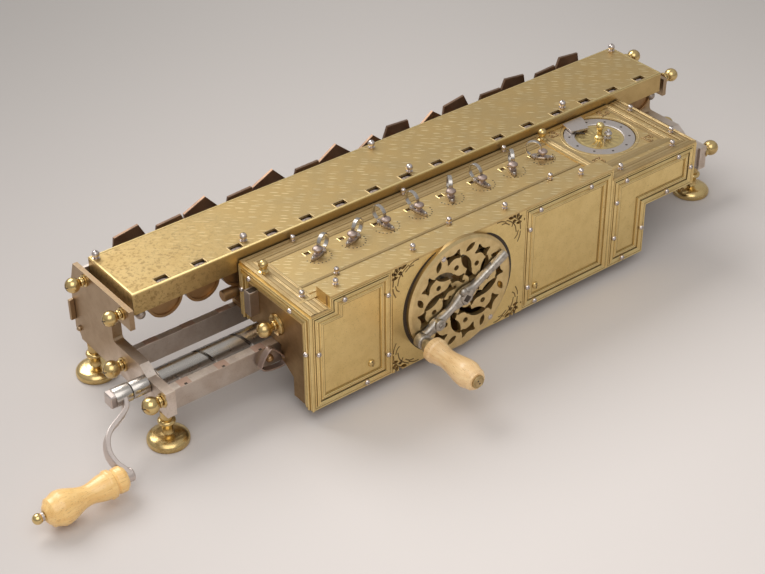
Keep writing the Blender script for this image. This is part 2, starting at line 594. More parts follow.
# Fluted borders on the top plate: wide at the left and rear, narrower at the right, and a frame round the dial
wideBorder = {
    "bands": [(0, 1.2, 1.05, 0.3), (1.2, 2.4, 1.05, 0.3), (2.4, 3.6, 1.05, 0.3), (3.6, 4.5, 0.5, 0),
              (4.5, 8, 0.8, 0.1), (8, 8.7, 0.72, 0), (8.7, 10, 0.75, 0.3), (10, 11.4, 0.75, 0.3),
              (11.4, 12.2, 0.4, 0), (12.2, 16, 0.5, 0.1), (16, 16.7, 0.3, 0), (16.7, 18, 0.4, 0.3),
              (18, 19.3, 0.4, 0.3), (19.3, 20, 0.05, 0)],
    "grooves": [(1.0, 1.45, 1.1), (2.2, 2.65, 1.1), (3.6, 4.5, 0.5), (8, 8.7, 0.72), (11.4, 12.2, 0.4),
                (16, 16.7, 0.3), (17.8, 18.25, 0.42)]}
narrowBorder = {
    "bands": [(0, 1.2, 1.1, 0.3), (1.2, 2.4, 1.1, 0.3), (2.4, 3.4, 1.1, 0.3), (3.4, 4.2, 0.5, 0),
              (4.2, 7.4, 0.7, 0.2), (7.4, 8.2, 0.3, 0), (8.2, 9.8, 0.6, 0.3), (9.8, 11.4, 0.6, 0.3),
              (11.4, 12.2, 0.2, 0), (12.2, 13, 0.12, 0)],
    "grooves": [(1.0, 1.45, 1.15), (3.4, 4.2, 0.5), (7.4, 8.2, 0.3), (9.6, 10.05, 0.65), (11.5, 12.2, 0.2)]}
doubleLine = {"y": -72.5, "grooves": [(0, 0.7, 0.3), (1.7, 2.15, 0.42), (3.1, 3.6, 0.05)],
              "bands": [(0, 0.7, 0.3, 0), (0.7, 1.9, 0.4, 0.3), (1.9, 3.1, 0.4, 0.3), (3.1, 3.6, 0.05, 0)]}
dialFrame = {"half": 51.0, "back": -2.0,
             "bands": [(-1.6, 0, 0.02, 0, 1.3), (0, 1.3, 1.3, 0.3), (1.3, 2.6, 1.3, 0.3), (2.6, 4.1, 1.3, 0.4),
                       (4.1, 5.4, 0.6, 0.25), (5.4, 7.0, 0.35, 0.15), (7.0, 9, 0.12, 0)],
             "grooves": [(1.1, 1.55, 1.35), (2.4, 2.85, 1.35), (4.2, 5.0, 0.6), (6.6, 7.3, 0.3)]}
multiplier = {"x": 198.5, "y": -43.0}


def addTopBorders():
    c = case
    left, right = multiplier["x"] - dialFrame["half"], multiplier["x"] + dialFrame["half"]
    front = multiplier["y"] - dialFrame["half"]
    runs = [([(left, c["back"]), (c["left"], c["back"]), (c["left"], c["front"])], wideBorder),
            ([(c["left"] + 16, doubleLine["y"]), (left, doubleLine["y"])], doubleLine),
            ([(c["raisedRight"], c["front"]), (c["right"], c["front"]), (c["right"], c["back"])], narrowBorder),
            ([(left, dialFrame["back"]), (left, front), (right, front), (right, dialFrame["back"])], dialFrame)]
    bodies, lines = mouldings([(path, border, onTop(c["top"])) for path, border in runs])
    piece("top_borders", [(bodies, borderBrass), (lines, lineBrass)], "carriage", 20)


# Bright worn edge round the register cover
coverEdge = {"profile": [(-0.15, -1.6), (-0.2, -0.9), (0.1, -0.2), (0.7, 0.12), (1.5, 0.15), (2.1, 0.02),
                         (2.1, -0.5)]}


def addCoverEdge():
    low, high = nodeBox("register_cover")
    outline = [(low[0], low[1]), (high[0], low[1]), (high[0], high[1]), (low[0], high[1])]
    edge = mitred(outline, np.array(coverEdge["profile"]), onTop(high[2]))
    piece("cover_edge", [([edge], mouldBrass)], "frame", 50)


addFrontMouldings()
addEndFrames()
addTopBorders()
addCoverEdge()
print("mouldings run")


# Small screws: a collar, a neck and a slotted bead

def roundHead(radius, height):  # a half circle's profile on a short neck
    foot = np.array([[0, -0.4], [radius * 0.95, -0.4], [radius * 0.95, 0.4], [radius * 0.62, 0.6]])
    return turned(np.concatenate([foot, beadArc(radius, height - radius, -0.9, 9)]), 18)


def headSlot(radius, height, angle=0.0, wide=0.5):  # a dark strip along the arc over a round head
    a = np.linspace(0.9, np.pi - 0.9, 7)
    arc = np.stack([radius * np.cos(a), 0 * a, height - radius + radius * np.sin(a)], -1)
    return spun(swept(arc + (0, 0, 0.02), barSection(0.12, wide, 0.03), toRear), angle)


screws = {
    "radius": 2.8, "coverRadius": 3.7, "topHeight": 6.4, "frontHeight": 3.0, "coverHeight": 8.0,
    "discHeight": 1.1, "turn": 37.0, "border": 0.8, "moulding": 4.7, "sideFrame": 2.4, "discFace": -118.0,
    "cover": [(-205, 11), (-8.5, 11), (196, 11), (-326, 71), (-9, 71), (326, 71)],
    "top": [(-161, -73), (-28, -73), (101, -74), (-207, -83), (-161, -5), (-29, -5), (101, -5),
            (168, -104), (260, -25), (260, -84), (241, -104)],
    "raised": [(-182, -100), (-94, -100), (18, -100), (117, -100)],
    "front": [(-182.7, 124.5), (-133.8, 107.5), (-212.6, 77.3), (-133.8, 40.1), (-159.2, 20.2), (51.9, 125),
              (118.1, 125), (39, 107.5), (39, 40.4), (49.3, 20.2), (156, 91.3), (156, 49.4), (170.3, 20.2),
              (195, 46.6), (167.7, 113), (241.1, 113), (261, 93.7), (228.4, 77)],
    "side": [(-20.6, 113), (-7.3, 94.6), (-84.8, 113), (-106.8, 77.5)],
    "disc": [(-71.8, 122), (-12, 30)]}


def screwRow(places, height, axis, radius=screws["radius"]):  # heads and slots, each turned a step on
    heads = [aimed(roundHead(radius, height), place, axis) for place in places]
    turns = [screws["turn"] * i % 180 for i in range(len(places))]
    slots = [aimed(headSlot(radius, height, turn), place, axis) for place, turn in zip(places, turns)]
    return heads, slots


def addScrews():
    s, c = screws, case
    coverTop = nodeBox("register_cover")[1][2]
    heads, slots = screwRow([(x, y, coverTop) for x, y in s["cover"]], s["coverHeight"], toTop,
                            s["coverRadius"])
    piece("cover_screws", [(heads, screwSilver), (slots, engraved)], "frame")
    rows = [screwRow([(x, y, c["top"] + s["border"]) for x, y in s["top"]], s["topHeight"], toTop),
            screwRow([(x, y, c["raisedTop"]) for x, y in s["raised"]], s["topHeight"], toTop),
            screwRow([(x, c["wall"] - s["moulding"], z) for x, z in s["front"]], s["frontHeight"], toFront),
            screwRow([(c["left"] - s["sideFrame"], y, z) for y, z in s["side"]], s["frontHeight"], toLeft)]
    heads, slots = ([part for row in rows for part in row[i]] for i in (0, 1))
    r, h = s["radius"], s["discHeight"]  # low heads, under the turning crank
    low = turned([(0, -0.4), (r, -0.4), (r, h * 0.3), (r * 0.8, h * 0.75), (r * 0.4, h * 0.95), (0, h)], 18)
    heads += [aimed(low, (x, s["discFace"], z), toFront) for x, z in s["disc"]]
    piece("case_screws", [(heads, screwSilver), (slots, engraved)], "carriage")


addScrews()
print("screws added")

# Brass buttons on the plain panels and the ball-headed screw of the left wall
brassButtons = {"radius": 3.6, "height": 2.6, "places": [(-152, 37.4), (51.7, 36.2)]}
wallBall = {"radius": 7.5, "reach": 14, "y": -59, "z": 82.6,
            "collar": [(0, -0.3), (10.4, -0.3), (11, 0.4), (10.7, 2.2), (9.4, 3.4), (6.5, 4), (0, 4.1)]}


def ballScrew(r, reach):  # a collar, a neck, a second collar and a ball, on the Z axis
    neck = [(0, -0.5), (r * 0.78, -0.5), (r * 0.82, 0), (r * 0.82, 1.6), (r * 0.74, 2), (r * 0.46, 2.2),
            (r * 0.44, 3.3), (r * 0.64, 3.6), (r * 0.68, 4.5), (r * 0.62, 5.4), (r * 0.42, 5.8)]
    ball = beadArc(r, reach, math.asin(0.42) - np.pi / 2, 22)[1:]
    return turned(np.concatenate([neck, ball]), 40)


def crossSlots(r, reach):  # two dark strips that cross on top of a ball
    a = np.linspace(1.05, np.pi - 1.05, 9)
    arc = np.stack([(r + 0.02) * np.cos(a), 0 * a, reach + (r + 0.02) * np.sin(a)], -1)
    return [spun(swept(arc, barSection(0.2, 1.0, 0.05), toRear), turn) for turn in (25, 115)]


def addButtons():
    r, h = brassButtons["radius"], brassButtons["height"]
    dome = turned(np.concatenate([[(0, -0.3), (r, -0.3)], beadArc(r, 0.4, 0, 8, h - 0.4)]), 24)
    slot = slab((-0.35, -r * 0.8, h - 0.5), (0.35, r * 0.8, h + 0.02), 0.05)
    places = [(x, case["wall"] - frontMoulding["plate"], z) for x, z in brassButtons["places"]]
    domes, slots = ([aimed(part, place, toFront) for place in places] for part in (dome, slot))
    b = wallBall
    ball = aimed(ballScrew(b["radius"], b["reach"]), (case["left"] - 0.05, b["y"], b["z"]), toLeft)
    collar = aimed(turned(b["collar"], 40), (case["left"], b["y"], b["z"]), toLeft)
    piece("brass_buttons", [(domes + [ball, collar], turnedBrass), (slots, engraved)], "carriage")


# Turned feet and the ball-headed screws of the end plates, in place of their solids
feet = {"radius": 20.0, "pillar": 5.0, "top": 35.5, "x": (-336, 343), "y": (-48.5, 79)}
endBalls = {"reach": 12.6, "rows": [  # radius, height and places of (x, y, way)
    (7.3, 114.7, [(-341, 3.3, -1), (-341, 69, -1), (348, 11.8, 1), (348, 69, 1)]),
    (8.4, 53, [(-341, 12, -1), (-341, -55, -1), (348, 12, 1), (348, -55, 1)])]}


def footShape():  # a domed disc, a pillar, a bead and a collar
    r, p, top = feet["radius"], feet["pillar"], feet["top"]
    disc = [(0, 0), (r - 1.2, 0), (r - 0.3, 0.5), (r, 1.5), (r, 3.2)]
    dome = beadArc(r - p - 3, 3.5, 0, 12, 6.5, p + 3)
    pillar = [(p + 0.6, 10.6), (p, 11.5), (p, top - 15.5)]
    bead = beadArc(2.9, top - 12, -np.pi / 2, 10, 2.6, p + 0.6)
    collar = [(p + 0.8, top - 8.5), (p + 0.8, top), (0, top)]
    return turned(np.concatenate([disc, dome, pillar, bead, collar]), 56)


def addFeet():
    parts = [aimed(footShape(), (x, y, 0)) for x in feet["x"] for y in feet["y"]]
    slots = []
    for r, z, places in endBalls["rows"]:
        for x, y, way in places:
            parts.append(aimed(ballScrew(r, endBalls["reach"]), (x, y, z), (way, 0, 0)))
            slots += [aimed(slot, (x, y, z), (way, 0, 0)) for slot in crossSlots(r, endBalls["reach"])]
    piece("turned_feet_and_balls", [(parts, turnedBrass), (slots, engraved)], "frame",
          stands="feet_and_ball_screws")


addButtons()
addFeet()
print("balls and feet turned")

# Lead screw with its groove, collar, hub and cranked arm, in place of its solid
leadScrew = {
    "y": -28.5, "z": 55.8, "radius": 9.5, "left": -330.6, "right": 337.6, "lead": 40.0, "pin": -205.95,
    "from": -315.95, "to": -145.95, "wide": 5.4, "deep": 3.0, "journal": 4.2, "arm": -368.4, "angle": 212.0,
    "throw": 69.0, "bow": 31.0, "tip": -492.7, "tipRadius": 5.0,
    "shaftAt": -325, "collarAt": -341.4, "hubAt": -359.4, "squareAt": -372.4, "ferruleAt": -401.2,
    "pinAt": -402, "collar": [(0, 0), (8, 0), (8.5, 0.5), (8.5, 16.6), (8.1, 17.2), (0, 17.3)],
    "hub": [(0, 0), (8.2, 0), (8.8, 0.6), (8.8, 16), (8.4, 16.6), (0, 16.7)],
    "boss": [(0, 0), (5.6, 0), (6.4, 0.8), (6.4, 7.2), (5.6, 8), (0, 8)],
    "curve": [(0, 0), (0, 8), (-4, 15), (-14, 20.5), (-25, 26), (-33, 34), (-37, 45), (-36, 56), (-33, 63),
              (-31, 69)]}


def notchedSection():  # a circle with a square notch
    s = leadScrew
    half = math.asin(s["wide"] / 2 / s["radius"])
    a = np.linspace(half, 2 * np.pi - half, 44)
    across = np.linspace(-s["wide"] / 2, s["wide"] / 2, 5)
    notch = np.stack([np.full(5, s["radius"] - s["deep"]), across], -1)
    return np.concatenate([notch, s["radius"] * np.stack([np.cos(a), np.sin(a)], -1)])


def grooveFloor():  # a thin flat section on the bottom of the notch
    r, half = leadScrew["radius"] - leadScrew["deep"], leadScrew["wide"] / 2
    return np.array([(r + 0.06, 0.1 - half), (r + 0.06, half - 0.1), (r - 0.3, half - 0.1),
                     (r - 0.3, 0.1 - half)])


def helical(section):  # a section turned once for every lead along X
    s = leadScrew
    x = np.linspace(s["from"], s["to"], 420)
    turn = 2 * np.pi * (x - s["pin"]) / s["lead"]
    out = np.stack([-np.sin(turn), np.cos(turn)], -1)
    side = np.stack([-np.cos(turn), -np.sin(turn)], -1)
    yz = section[None, :, :1] * out[:, None] + section[None, :, 1:] * side[:, None]
    rows = np.concatenate([np.broadcast_to(x[:, None, None], yz.shape[:2] + (1,)), yz], -1)
    points, faces = capped(rows)
    return points + (0, s["y"], s["z"]), faces


def along(profile, x, sides=40, axis=(leadScrew["y"], leadScrew["z"])):  # a turned shape that runs to the left
    return aimed(turned(profile, sides), (x, *axis), toLeft)


def armPath():  # a curve through stations of (outwards, down), in the arm's own plane
    flat = smoothPath(leadScrew["curve"], 60)
    return np.stack([flat[:, 0], 0 * flat[:, 0], flat[:, 1]], -1)


def addLeadScrew():
    s = leadScrew
    r, j, t = s["radius"], s["journal"], s["tipRadius"]
    leftLong, rightLong = s["from"] - s["left"], s["right"] - s["to"]
    plainLeft = [(0, 0), (r, 0), (r, leftLong - 0.4), (r - 0.4, leftLong), (0, leftLong)]
    plainRight = [(0, 0), (r - 0.4, 0), (r, 0.4), (r, rightLong), (0, rightLong)]
    steel = [along(plainLeft, s["from"]), along(plainRight, s["right"]), helical(notchedSection()),
             along(plainPin(j, 0, 54), s["shaftAt"]), along(plainPin(j, 0, 11), s["right"] + 10.5),
             along(s["collar"], s["collarAt"]), along(s["hub"], s["hubAt"])]
    angle = math.radians(s["angle"] - 90)
    turn = np.array([[1, 0, 0], [0, math.cos(angle), -math.sin(angle)], [0, math.sin(angle), math.cos(angle)]])
    points, faces = swept(armPath(), barSection(4.4, 13.2, 0.6), toRear)
    arm = points @ turn.T + (s["arm"], s["y"], s["z"]), faces
    grip = (s["y"] - s["throw"] * math.sin(angle), s["z"] + s["throw"] * math.cos(angle))
    square = aimed(slab((-6.4, -6.4, 0), (6.4, 6.4, 9), 1.0), (s["squareAt"], s["y"], s["z"]), toLeft)
    matt = [square, arm, along(s["boss"], s["arm"] - s["bow"] + 4, 32, grip),
            along(plainPin(5.2, 0, 3), s["ferruleAt"], 32, grip),
            along(plainPin(4, 0, 84), s["pinAt"], 20, grip)]
    tip = np.concatenate([[(0, 0), (t * 0.9, 0), (t * 0.95, 0.6), (t * 0.7, 1.6)], beadArc(t, 6.4, -1.1, 14)])
    brass = [along(tip, s["tip"] + 6.4 + t, 32, grip)]
    groove = [helical(grooveFloor())]
    groups = [(steel, brightSteel), (matt, armSteel), (groove, grooveSteel), (brass, turnedBrass)]
    piece("turned_lead_screw", groups, "lead_screw", stands="lead_screw")


addLeadScrew()
print("lead screw cut")

# Turned wooden grips: stations of (share of the length, share of the radius)
leadGrip = {"from": -403.3, "long": 78.0, "radius": 16.0, "stations": [
    (0, 0.62), (0.04, 0.76), (0.11, 0.74), (0.14, 0.66), (0.17, 0.82), (0.21, 0.85), (0.25, 0.76), (0.47, 0.58),
    (0.8, 1), (0.93, 0.82), (0.98, 0.56), (1, 0.36)]}
mainGrip = {"from": -139.9, "long": 62.0, "radius": 13.2, "stations": [
    (0, 0.92), (0.08, 0.94), (0.13, 0.84), (0.32, 0.73), (0.78, 1), (0.94, 0.84), (1, 0.66)]}


def gripShape(grip, hole=4.4):  # each stretch between two stations eases like half a cosine wave, as on a lathe
    t = np.linspace(0, 1, 90)
    share, radius = np.array(grip["stations"]).T
    i = np.clip(np.searchsorted(share, t, "right") - 1, 0, len(share) - 2)
    local = (t - share[i]) / (share[i + 1] - share[i])
    r = radius[i] + (radius[i + 1] - radius[i]) * (1 - np.cos(np.pi * local)) / 2
    outside = np.stack([grip["radius"] * r, grip["long"] * t], -1)
    return turned(np.concatenate([[(hole, 0)], outside, [(hole, grip["long"]), (hole, 0)]]), 56)


def addGrips():
    for name, grip, way, slot, finish in (("lead_grip", leadGrip, 0, "beech", beech),
                                          ("main_grip", mainGrip, 1, "maple", maple)):
        low, high = nodeBox(name)
        place, axis = (low + high) / 2, np.zeros(3)
        place[way], axis[way] = grip["from"], -1
        piece("turned_" + name, [([aimed(gripShape(grip), place, axis)], finish)], name, stands=name)


addGrips()
print("grips turned")


# Numerals as thin solid shapes

def numeralShapes(height, thick):
    shapes = []
    for n in range(10):
        words = bpy.data.curves.new("numeral", "FONT")
        words.body, words.size = str(n), height * 1.4
        words.align_x, words.align_y = "CENTER", "CENTER"
        words.resolution_u = 1
        words.extrude = thick / 2
        holder = link(bpy.data.objects.new("numeral", words))
        flat = bpy.data.meshes.new_from_object(holder)
        work = bmesh.new()
        work.from_mesh(flat)
        bmesh.ops.triangulate(work, faces=work.faces)
        work.to_mesh(flat)
        work.free()
        points = np.empty(len(flat.vertices) * 3)
        flat.vertices.foreach_get("co", points)
        rows = np.empty(len(flat.polygons) * 3, int)
        flat.polygons.foreach_get("vertices", rows)
        shapes.append((points.reshape(-1, 3), rows.reshape(-1, 3)))
        bpy.data.objects.remove(holder)
        bpy.data.curves.remove(words)
        bpy.data.meshes.remove(flat)
    return shapes


# White digit bands on the result wheels, with the numerals bent round the rim
digitBand = {"first": -297.0, "pitch": 40.0, "z": 111.0, "radius": 18.62, "from": 2.5, "to": 8.3, "tall": 4.2}


def addDigitBands():
    b = digitBand
    shapes = numeralShapes(b["tall"], 0.08)
    middle = (b["from"] + b["to"]) / 2
    r = b["radius"]
    band = [(r - 0.8, b["from"]), (r, b["from"]), (r + 0.03, b["from"] + 0.2), (r + 0.03, b["to"] - 0.2),
            (r, b["to"]), (r - 0.8, b["to"]), (r - 0.8, b["from"])]
    for k in range(16):
        x = b["first"] + b["pitch"] * k
        ring = aimed(turned(band, 60), (x, 0, b["z"]), toRear)
        marks = []
        for n, (points, rows) in enumerate(shapes):
            a = -2 * np.pi * n / 10 + points[:, 0] / r
            out = r + 0.04 + points[:, 2]
            marks.append((np.stack([x + out * np.sin(a), middle + points[:, 1], b["z"] + out * np.cos(a)], -1),
                          rows))
        wheel = f"digit_wheel_{k + 1}"
        piece(f"digit_band_{k + 1}", [([ring], whiteEnamel), (marks, inkEnamel)], wheel)


# Bevelled edges of the register's windows
windowEdge = {"wide": 12.5, "deep": 7.0, "from": 2.4,
              "profile": [(-1.5, 0.02), (-0.9, 0.28), (0, 0.06), (0, -0.6), (-1.5, -0.3)]}


def addWindowEdges():
    top = nodeBox("register_cover")[1][2]
    parts = []
    for k in range(16):
        x, half = digitBand["first"] + digitBand["pitch"] * k, windowEdge["wide"] / 2
        low, high = windowEdge["from"], windowEdge["from"] + windowEdge["deep"]
        corners = [(x - half, low), (x + half, low), (x + half, high), (x - half, high)]
        parts.append(mitred(corners, np.array(windowEdge["profile"]), onTop(top)))
    piece("window_edges", [(parts, borderBrass)], "frame", 15)


addDigitBands()
addWindowEdges()
print("digits set")

# Setting dials: lobed pointer, mushroom knob, strip ring and numbered disc, in place of their solids
settingDial = {
    "first": -157.0, "pitch": 40.0, "y": -39.0, "base": 121.3, "zero": 203.0,
    "settings": [0, 0, 2, 2, 1, 2, 1, 3], "ring": 8.4, "ringWide": 4.0, "disc": 13.5, "discLow": 117.1,
    "discHigh": 118.6, "dots": 11, "dotCircle": 12.8, "step": 36.0, "numeral": 3.0, "numeralAt": 10.8,
    "numeralTurn": 32.6, "window": (-8.5, -3, 7, 11),
    "neck": [(0, 1.5), (3.3, 1.5), (3.3, 2.6), (2.3, 3.2), (2.2, 4.2)],
    "side": [(-10.2, 1.2), (-9.4, 3.6), (-7.6, 4.5), (-6.2, 3.1), (-3.5, 3.6), (2.5, 3.7), (4.3, 2.4),
             (5.4, 3.3), (6.6, 2.9), (7.4, 1.5), (8.4, 2.3), (9.4, 2.2), (11.5, 0.25)]}


def toothed(count, radius, rise, low, high):  # an outline that steps out and in once for each tooth
    a = np.linspace(0, 2 * np.pi, count * 6, endpoint=False)
    wave = np.tile([-0.5, -0.5, 0.2, 0.5, 0.5, 0.2], count)
    r = radius + rise * wave
    return stacked(np.stack([r * np.cos(a), r * np.sin(a)], -1), [(1, low), (1, high)])


def dialPointer():  # half widths along X give a flat lobed bar with cut edges
    x, half = np.array(settingDial["side"]).T
    fine = np.linspace(x[0], x[-1], 46)
    half = np.interp(fine, x, half)
    around = np.array([(1, 0), (1, 1.5), (0.86, 2.2), (-0.86, 2.2), (-1, 1.5), (-1, 0)])
    rows = np.stack([np.broadcast_to(fine[:, None], (46, 6)), half[:, None] * around[None, :, 0],
                     np.broadcast_to(around[None, :, 1], (46, 6))], -1)
    return capped(rows)


def addSettingDials():
    d = settingDial
    shapes = numeralShapes(d["numeral"], 0.06)
    knob = turned(np.concatenate([d["neck"], beadArc(5.0, 7.1, -1.15, 14, 2.7)]), 32)
    turn = np.linspace(-np.pi / 2 + 0.5, 1.5 * np.pi - 0.35, 48)
    r = d["ring"] - 0.55
    circle = np.stack([r * np.cos(turn) - d["ring"] - 1.2, 0 * turn, r * np.sin(turn) + 10.0], -1)
    ring = swept(circle, barSection(1.1, d["ringWide"], 0.25), toRear)
    foot = slab((-11.5, -2, 0.6), (-6.5, 2, 2.6), 0.4)
    stud = aimed(roundHead(1.3, 1.5), (8.8, 0, 2.1))
    shaft = turned(plainPin(2.0, -16.2, 2), 24)
    pinion = toothed(10, 3.6, 1.4, -14.3, -9.3)
    lift = d["discHigh"] - d["base"]
    plate = turned(plainPin(d["disc"], d["discLow"] - d["base"], lift), 48)
    face = turned([(5, lift), (13.3, lift), (13.3, lift + 0.06), (5, lift + 0.06), (5, lift)], 48)
    groups = [([dialPointer(), foot, shaft, pinion, plate], dialSteel), ([knob], knobSteel),
              ([ring, stud], brightSteel), ([face], whiteEnamel)]
    for k, setting in enumerate(d["settings"]):
        place = (d["first"] + d["pitch"] * k, d["y"], d["base"])
        angle = d["zero"] + d["step"] * setting
        placed = [([spun(part, angle, place) for part in parts], finish) for parts, finish in groups]
        marks = [spun((points + (0, d["numeralAt"], lift + 0.1), rows),
                      d["numeralTurn"] + d["step"] * (setting - n), place)
                 for n, (points, rows) in enumerate(shapes)]
        wheel = f"setting_dial_{k + 1}"
        piece(f"dial_with_ring_{k + 1}", placed + [(marks, inkEnamel)], wheel, stands=wheel)


# Index dots in front of each dial and a bevelled edge round each dial window
def addDialMarks():
    d = settingDial
    dot = turned([(0, -0.2), (0.75, -0.2), (0.75, 0.05), (0.5, 0.12), (0, 0.14)], 10)
    circle = d["dotCircle"] * np.array([(math.cos(a), math.sin(a))
                                        for a in np.radians(np.linspace(186, 354, d["dots"]))])
    dots, edges = [], []
    for k in range(len(d["settings"])):
        x, y = d["first"] + d["pitch"] * k, d["y"]
        dots += [aimed(dot, (x + dx, y + dy, case["top"])) for dx, dy in circle]
        left, right, low, high = d["window"]
        corners = [(x + left, y + low), (x + right, y + low), (x + right, y + high), (x + left, y + high)]
        edges.append(mitred(corners, np.array(windowEdge["profile"]) * (0.8, 1), onTop(case["top"])))
    piece("dial_marks", [(edges, mouldBrass), (dots, engraved)], "carriage", 15)


addSettingDials()
addDialMarks()
print("dials set")

# Multiplier dial: dotted steel ring, gilt rosette, knob and peg, in place of its solid
multiplierDial = {
    "radius": 36.8, "inner": 25.0, "low": 116.8, "high": 120.3, "centre": 119.1, "petals": 16, "dot": 1.3,
    "pegAt": (6.6, -5.6, 0), "pinAt": (-4.1, -11.3, 0),
    "spool": [(0, 117.5), (5.2, 117.5), (5.4, 118.5), (4.8, 120.6), (2.9, 122), (2.4, 124), (2.6, 126),
              (3.2, 126.6), (3.6, 127.4), (2.4, 128)],
    "peg": [(0, 118), (3.1, 118), (3.1, 119.6), (1.9, 120.4), (1.7, 121.6), (3.4, 123), (3.6, 124.4),
            (2.6, 125.8), (1.4, 126.4), (1.9, 127.4), (1.3, 128.6), (0, 129)],
    "pin": [(0, 118), (1.0, 118), (1.0, 126), (0.7, 126.8), (0, 126.8)]}


def rosette():  # a disc that rises and falls with the angle, and in rings with the radius
    m = multiplierDial
    r = np.linspace(0, m["inner"] - 0.1, 26)[:, None]
    a = np.linspace(0, 2 * np.pi, 192, endpoint=False)[None]
    leaf = 0.25 * np.cos(m["petals"] * a + 0.12 * r) * np.clip((r - 7) / 4, 0, 1)
    leaf = leaf * np.clip((21.5 - r) / 2, 0, 1)
    rings = 0.18 * np.cos(r * 2.2) * (r < 8) - 0.3 * (np.abs(r - 22.5) < 0.7)
    z = m["centre"] + leaf * 0.8 + rings
    points = np.stack(np.broadcast_arrays(r * np.cos(a), r * np.sin(a), z), -1)
    under = np.stack(np.broadcast_arrays(r[::-1] * np.cos(a), r[::-1] * np.sin(a), m["low"] + 0 * z), -1)
    return grid(np.concatenate([points, under[[0, -1]]]), ringCols=True)


def addMultiplierDial():
    m = multiplierDial
    inner, outer, low, high = m["inner"], m["radius"], m["low"], m["high"]
    ring = turned([(inner, low), (outer, low), (outer, high - 0.5), (outer - 0.5, high), (inner + 0.8, high),
                   (inner, high - 0.8), (inner, low)], 96)
    middle = (outer + inner) / 2
    dot = turned([(0, -1), (m["dot"], -1), (m["dot"], 0.04), (0, 0.05)], 16)
    dots = [aimed(dot, (middle * math.cos(a), middle * math.sin(a), high))
            for a in np.radians(np.arange(10) * 36.0)]
    knob = turned(np.concatenate([m["spool"], beadArc(4.4, 132.3, -1.2, 12)]), 36)
    peg = aimed(turned(np.array(m["peg"]) * (1.15, 1), 28), m["pegAt"])
    steel = [ring, peg, aimed(turned(m["pin"], 16), m["pinAt"]), turned(plainPin(4.5, 108.8, 118), 24)]
    place = (multiplier["x"], multiplier["y"], 0)
    groups = [([(points + place, rows) for points, rows in parts], finish)
              for parts, finish in ((steel, ringSteel), ([rosette(), knob], gilt), (dots, engraved))]
    piece("dotted_dial", groups, "multiplier_dial", stands="multiplier_dial")


# Traditional scrollwork: pairs of spirals in the corners beside the multiplier dial
scrolls = {"turns": 1.6, "inner": 0.7, "outer": 4.2, "wire": 0.55, "size": 0.82,
           "corners": [(45, 36, 32), (135, -36, 32), (225, -36, -36), (315, 36, -36)],  # degrees, x, y
           "rim": [(39.6, 120.8), (40.3, 121.35), (41.0, 120.8), (40.3, 120.5), (39.6, 120.8)]}


def spiral(size, way):  # the radius grows evenly with the angle, and the end runs out straight
    t = np.linspace(0, 1, 34)
    a = way * 2 * np.pi * scrolls["turns"] * t
    r = size * (scrolls["inner"] + (scrolls["outer"] - scrolls["inner"]) * t)
    return np.stack([r * np.cos(a), r * np.sin(a), 0 * t], -1)


def cornerScroll(size):  # two spirals back to back and a leaf between them, pointing along X
    wire = roundSection(scrolls["wire"] * size, 8)
    parts = []
    for way in (1, -1):
        path = spiral(size, way) + (0, way * 4.6 * size, 0)
        parts.append(swept(path, wire, toTop))
        stem = np.linspace(0, 1, 10)[:, None]
        parts.append(swept(np.concatenate([3 * size + 5 * size * stem, way * (4.6 - 5.2 * stem ** 2) * size,
                                           0 * stem], 1), wire, toTop))
    t = np.linspace(0, 1, 12)
    half = np.sin(np.pi * t) * 1.5 * size + 0.02
    around = np.array([(1, 0), (0.5, 0.5 * size), (0, 0.9 * size), (-0.5, 0.5 * size), (-1, 0), (0, -0.3)])
    leaf = np.stack([np.broadcast_to(size * (4 + 7 * t)[:, None], (12, 6)), half[:, None] * around[None, :, 0],
                     np.broadcast_to(around[None, :, 1], (12, 6))], -1)
    parts.append(grid(leaf, ringCols=True))
    return parts


def addScrolls():
    x, y = multiplier["x"], multiplier["y"]
    parts = [spun(part, angle + 180, (x + dx, y + dy, case["top"] + 0.1))
             for angle, dx, dy in scrolls["corners"] for part in cornerScroll(scrolls["size"])]
    rim = aimed(turned(scrolls["rim"], 96), (x, y, 0))
    piece("top_scrolls", [(parts, caseBrass), ([rim], borderBrass)], "carriage")


# Dark gap behind the pierced disc, its dark side, and engraved curls in the corners round it
discTrim = {"x": -50.0, "z": 73.5, "radius": 62.0, "face": -113.0, "side": 3.4,
            "arcs": [(114, 250, 4.2), (-56, 58, 5.4)], "corner": (62, 44), "rib": 1.15,
            "ribs": [[(-3, 15), (3, 11), (8, 5), (10, -3)], [(3, 16.5), (9, 13), (14, 7), (15.3, -2)],
                     [(10, 16.5), (13.5, 14), (15.3, 10)], [(-15, 16.5), (-9, 16), (-3, 13)],
                     [(-9, 12.5), (-4, 12), (1, 8.5)], [(8, -10), (11, -7), (12.5, -2)],
                     [(12, -15), (14.6, -9), (15.3, -4)], [(4, 5), (6, 9), (10, 10)]]}


def crescent(start, end, gap):  # a ring's arc, from two angles in degrees, that is widest in the middle
    d = discTrim
    t = np.linspace(0, 1, 60)[:, None]
    a = np.radians(start + (end - start) * t)
    wide = gap * np.sin(np.pi * t) ** 0.5
    section = np.array([(0, -0.15), (1, -0.15), (1, 0.15), (0, 0.15)])
    r = d["radius"] - 0.3 + wide * section[None, :, 0]
    rows = np.stack([d["x"] + r * np.cos(a), np.broadcast_to(d["face"] + section[None, :, 1], r.shape),
                     d["z"] + r * np.sin(a)], -1)
    return capped(rows)


